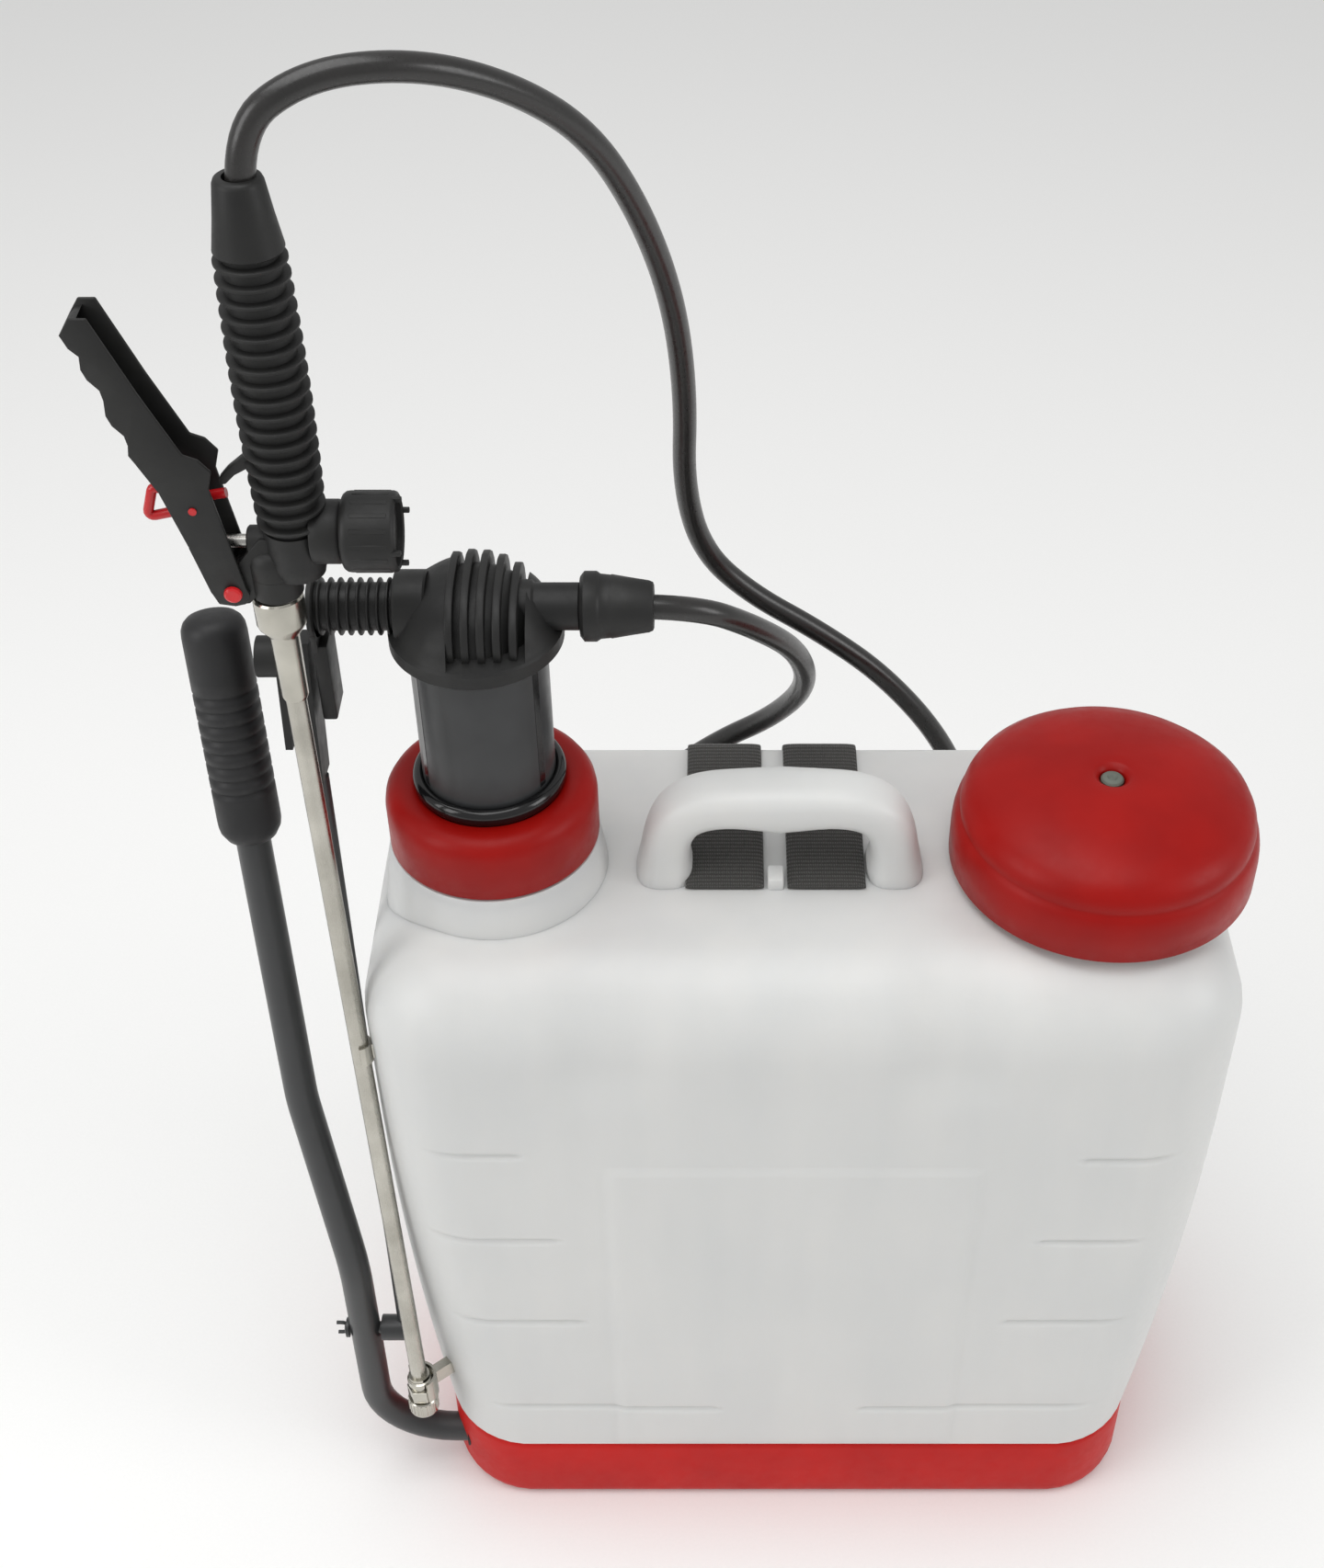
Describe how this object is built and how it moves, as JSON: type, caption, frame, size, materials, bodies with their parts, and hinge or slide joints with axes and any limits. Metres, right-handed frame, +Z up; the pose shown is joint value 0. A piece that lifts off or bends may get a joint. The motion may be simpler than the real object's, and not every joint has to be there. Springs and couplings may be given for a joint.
{
  "type": "knapsack pump sprayer",
  "caption": "Backpack sprayer with a translucent tank, side lever pump, fill lid, hose and trigger lance stored upright at its side.",
  "frame": {"origin": "centre of the base's underside", "axes": "+Z up, +X from the pump towards the fill lid, +Y towards the wearer's back"},
  "size_m": [0.4527, 0.218, 0.7506],
  "materials": {
    "tank_plastic": "satin translucent blow-moulded polyethylene",
    "red_plastic": "satin injection moulded",
    "black_plastic": "satin injection moulded, glass filled",
    "gloss_black_plastic": "glossy",
    "red_gloss_plastic": "glossy",
    "grey_plastic": "matte",
    "painted_steel": "powder coated",
    "steel": "drawn",
    "nickel": "nickel plated",
    "rubber": "moulded",
    "white_plastic": "moulded",
    "hose_pvc": "smooth extruded, slightly glossy",
    "webbing": "woven"
  },
  "bodies": {
    "tank": {"tank_body": "tank_plastic", "base": "red_plastic", "axle_bush": "black_plastic", "filler_strainer": "white_plastic", "neck_gasket": "rubber", "pump_barrel": "white_plastic", "pump_guide": "gloss_black_plastic", "pump_ring_nut": "red_plastic", "foot_valve_seat": "white_plastic", "foot_valve_ball": "steel", "suction_screen": "white_plastic", "lance_tube": "steel", "nozzle_body": "nickel", "swirl_disc": "steel", "lance_nut": "steel", "lance_clip_low": "steel", "lance_clip_high": "steel", "valve_body": "black_plastic", "lance_sleeve": "black_plastic", "lance_grip": "black_plastic", "lance_hose_nut": "black_plastic", "lance_filter": "white_plastic", "trigger_pin": "red_gloss_plastic", "valve_spring": "steel", "strap_left": "webbing", "strap_right": "webbing", "strap_buckles": "black_plastic", "hose": "hose_pvc"},
    "lid": {"fill_lid": "red_plastic", "lid_gasket": "rubber", "lid_vent_valve": "grey_plastic"},
    "pump": {"pressure_chamber": "black_plastic", "head_gasket": "rubber", "piston": "white_plastic", "piston_cup": "rubber", "piston_valve_ball": "steel", "delivery_tube": "white_plastic", "pump_head": "black_plastic", "arm_union": "black_plastic", "ribbed_arm": "black_plastic", "arm_elbow": "black_plastic", "pump_hose_nut": "black_plastic"},
    "lever": {"lever_tube": "painted_steel", "lever_grip": "black_plastic", "axle_retainer": "steel", "link_pin": "painted_steel", "link_pin_clip": "painted_steel"},
    "link": {"link_rod": "painted_steel", "link_head": "black_plastic"},
    "filter_cap": {"filter_cap": "black_plastic"},
    "trigger": {"trigger": "black_plastic"},
    "trigger_lock": {"trigger_lock": "red_gloss_plastic"},
    "valve_stem": {"valve_stem": "steel"},
    "nozzle_cap": {"nozzle_cap": "nickel"}
  },
  "joints": [
    {"name": "lever_swing", "type": "hinge", "parent": "tank", "child": "lever", "pos_m": [-0.15, -0.06, 0.024], "axis": [-1, 0, 0], "range_deg": [0, 66]},
    {"name": "link_swing", "type": "hinge", "parent": "lever", "child": "link", "pos_m": [-0.202, -0.06, 0.114], "axis": [-1, 0, 0], "range_deg": [-78.85, 0]},
    {"name": "pump_stroke", "type": "slide", "parent": "tank", "child": "pump", "axis": [0, 0, -1], "range_m": [0, 0.04981], "deforming": ["hose"]},
    {"name": "lid_off", "type": "slide", "parent": "tank", "child": "lid", "axis": [0, 0, 1], "range_m": [0, 0.08]},
    {"name": "filter_cap_off", "type": "slide", "parent": "tank", "child": "filter_cap", "axis": [1, 0, 0], "range_m": [0, 0.024]},
    {"name": "trigger_squeeze", "type": "hinge", "parent": "tank", "child": "trigger", "pos_m": [-0.214, -0.038, 0.557], "axis": [0, 1, 0], "range_deg": [0, 10], "stiffness_Nm_per_rad": 2, "springref_deg": -5.73},
    {"name": "valve_push", "type": "slide", "parent": "tank", "child": "valve_stem", "axis": [1, 0, 0], "range_m": [0, 0.0032]},
    {"name": "lock_turn", "type": "hinge", "parent": "trigger", "child": "trigger_lock", "pos_m": [-0.223, -0.038, 0.593], "axis": [0, 1, 0], "range_deg": [0, 12]},
    {"name": "nozzle_twist", "type": "hinge", "parent": "tank", "child": "nozzle_cap", "pos_m": [-0.184, -0.084, 0.078], "axis": [-0.0336, 0.0967, 0.9947], "range_deg": [0, 180]}
  ],
  "couplings": [
    {"joint": "link_swing", "follows": "lever_swing", "ratio": -1.1871},
    {"joint": "pump_stroke", "follows": "lever_swing", "m_per_rad": 0.042804},
    {"joint": "valve_push", "follows": "trigger_squeeze", "m_per_rad": 0.0176}
  ]
}
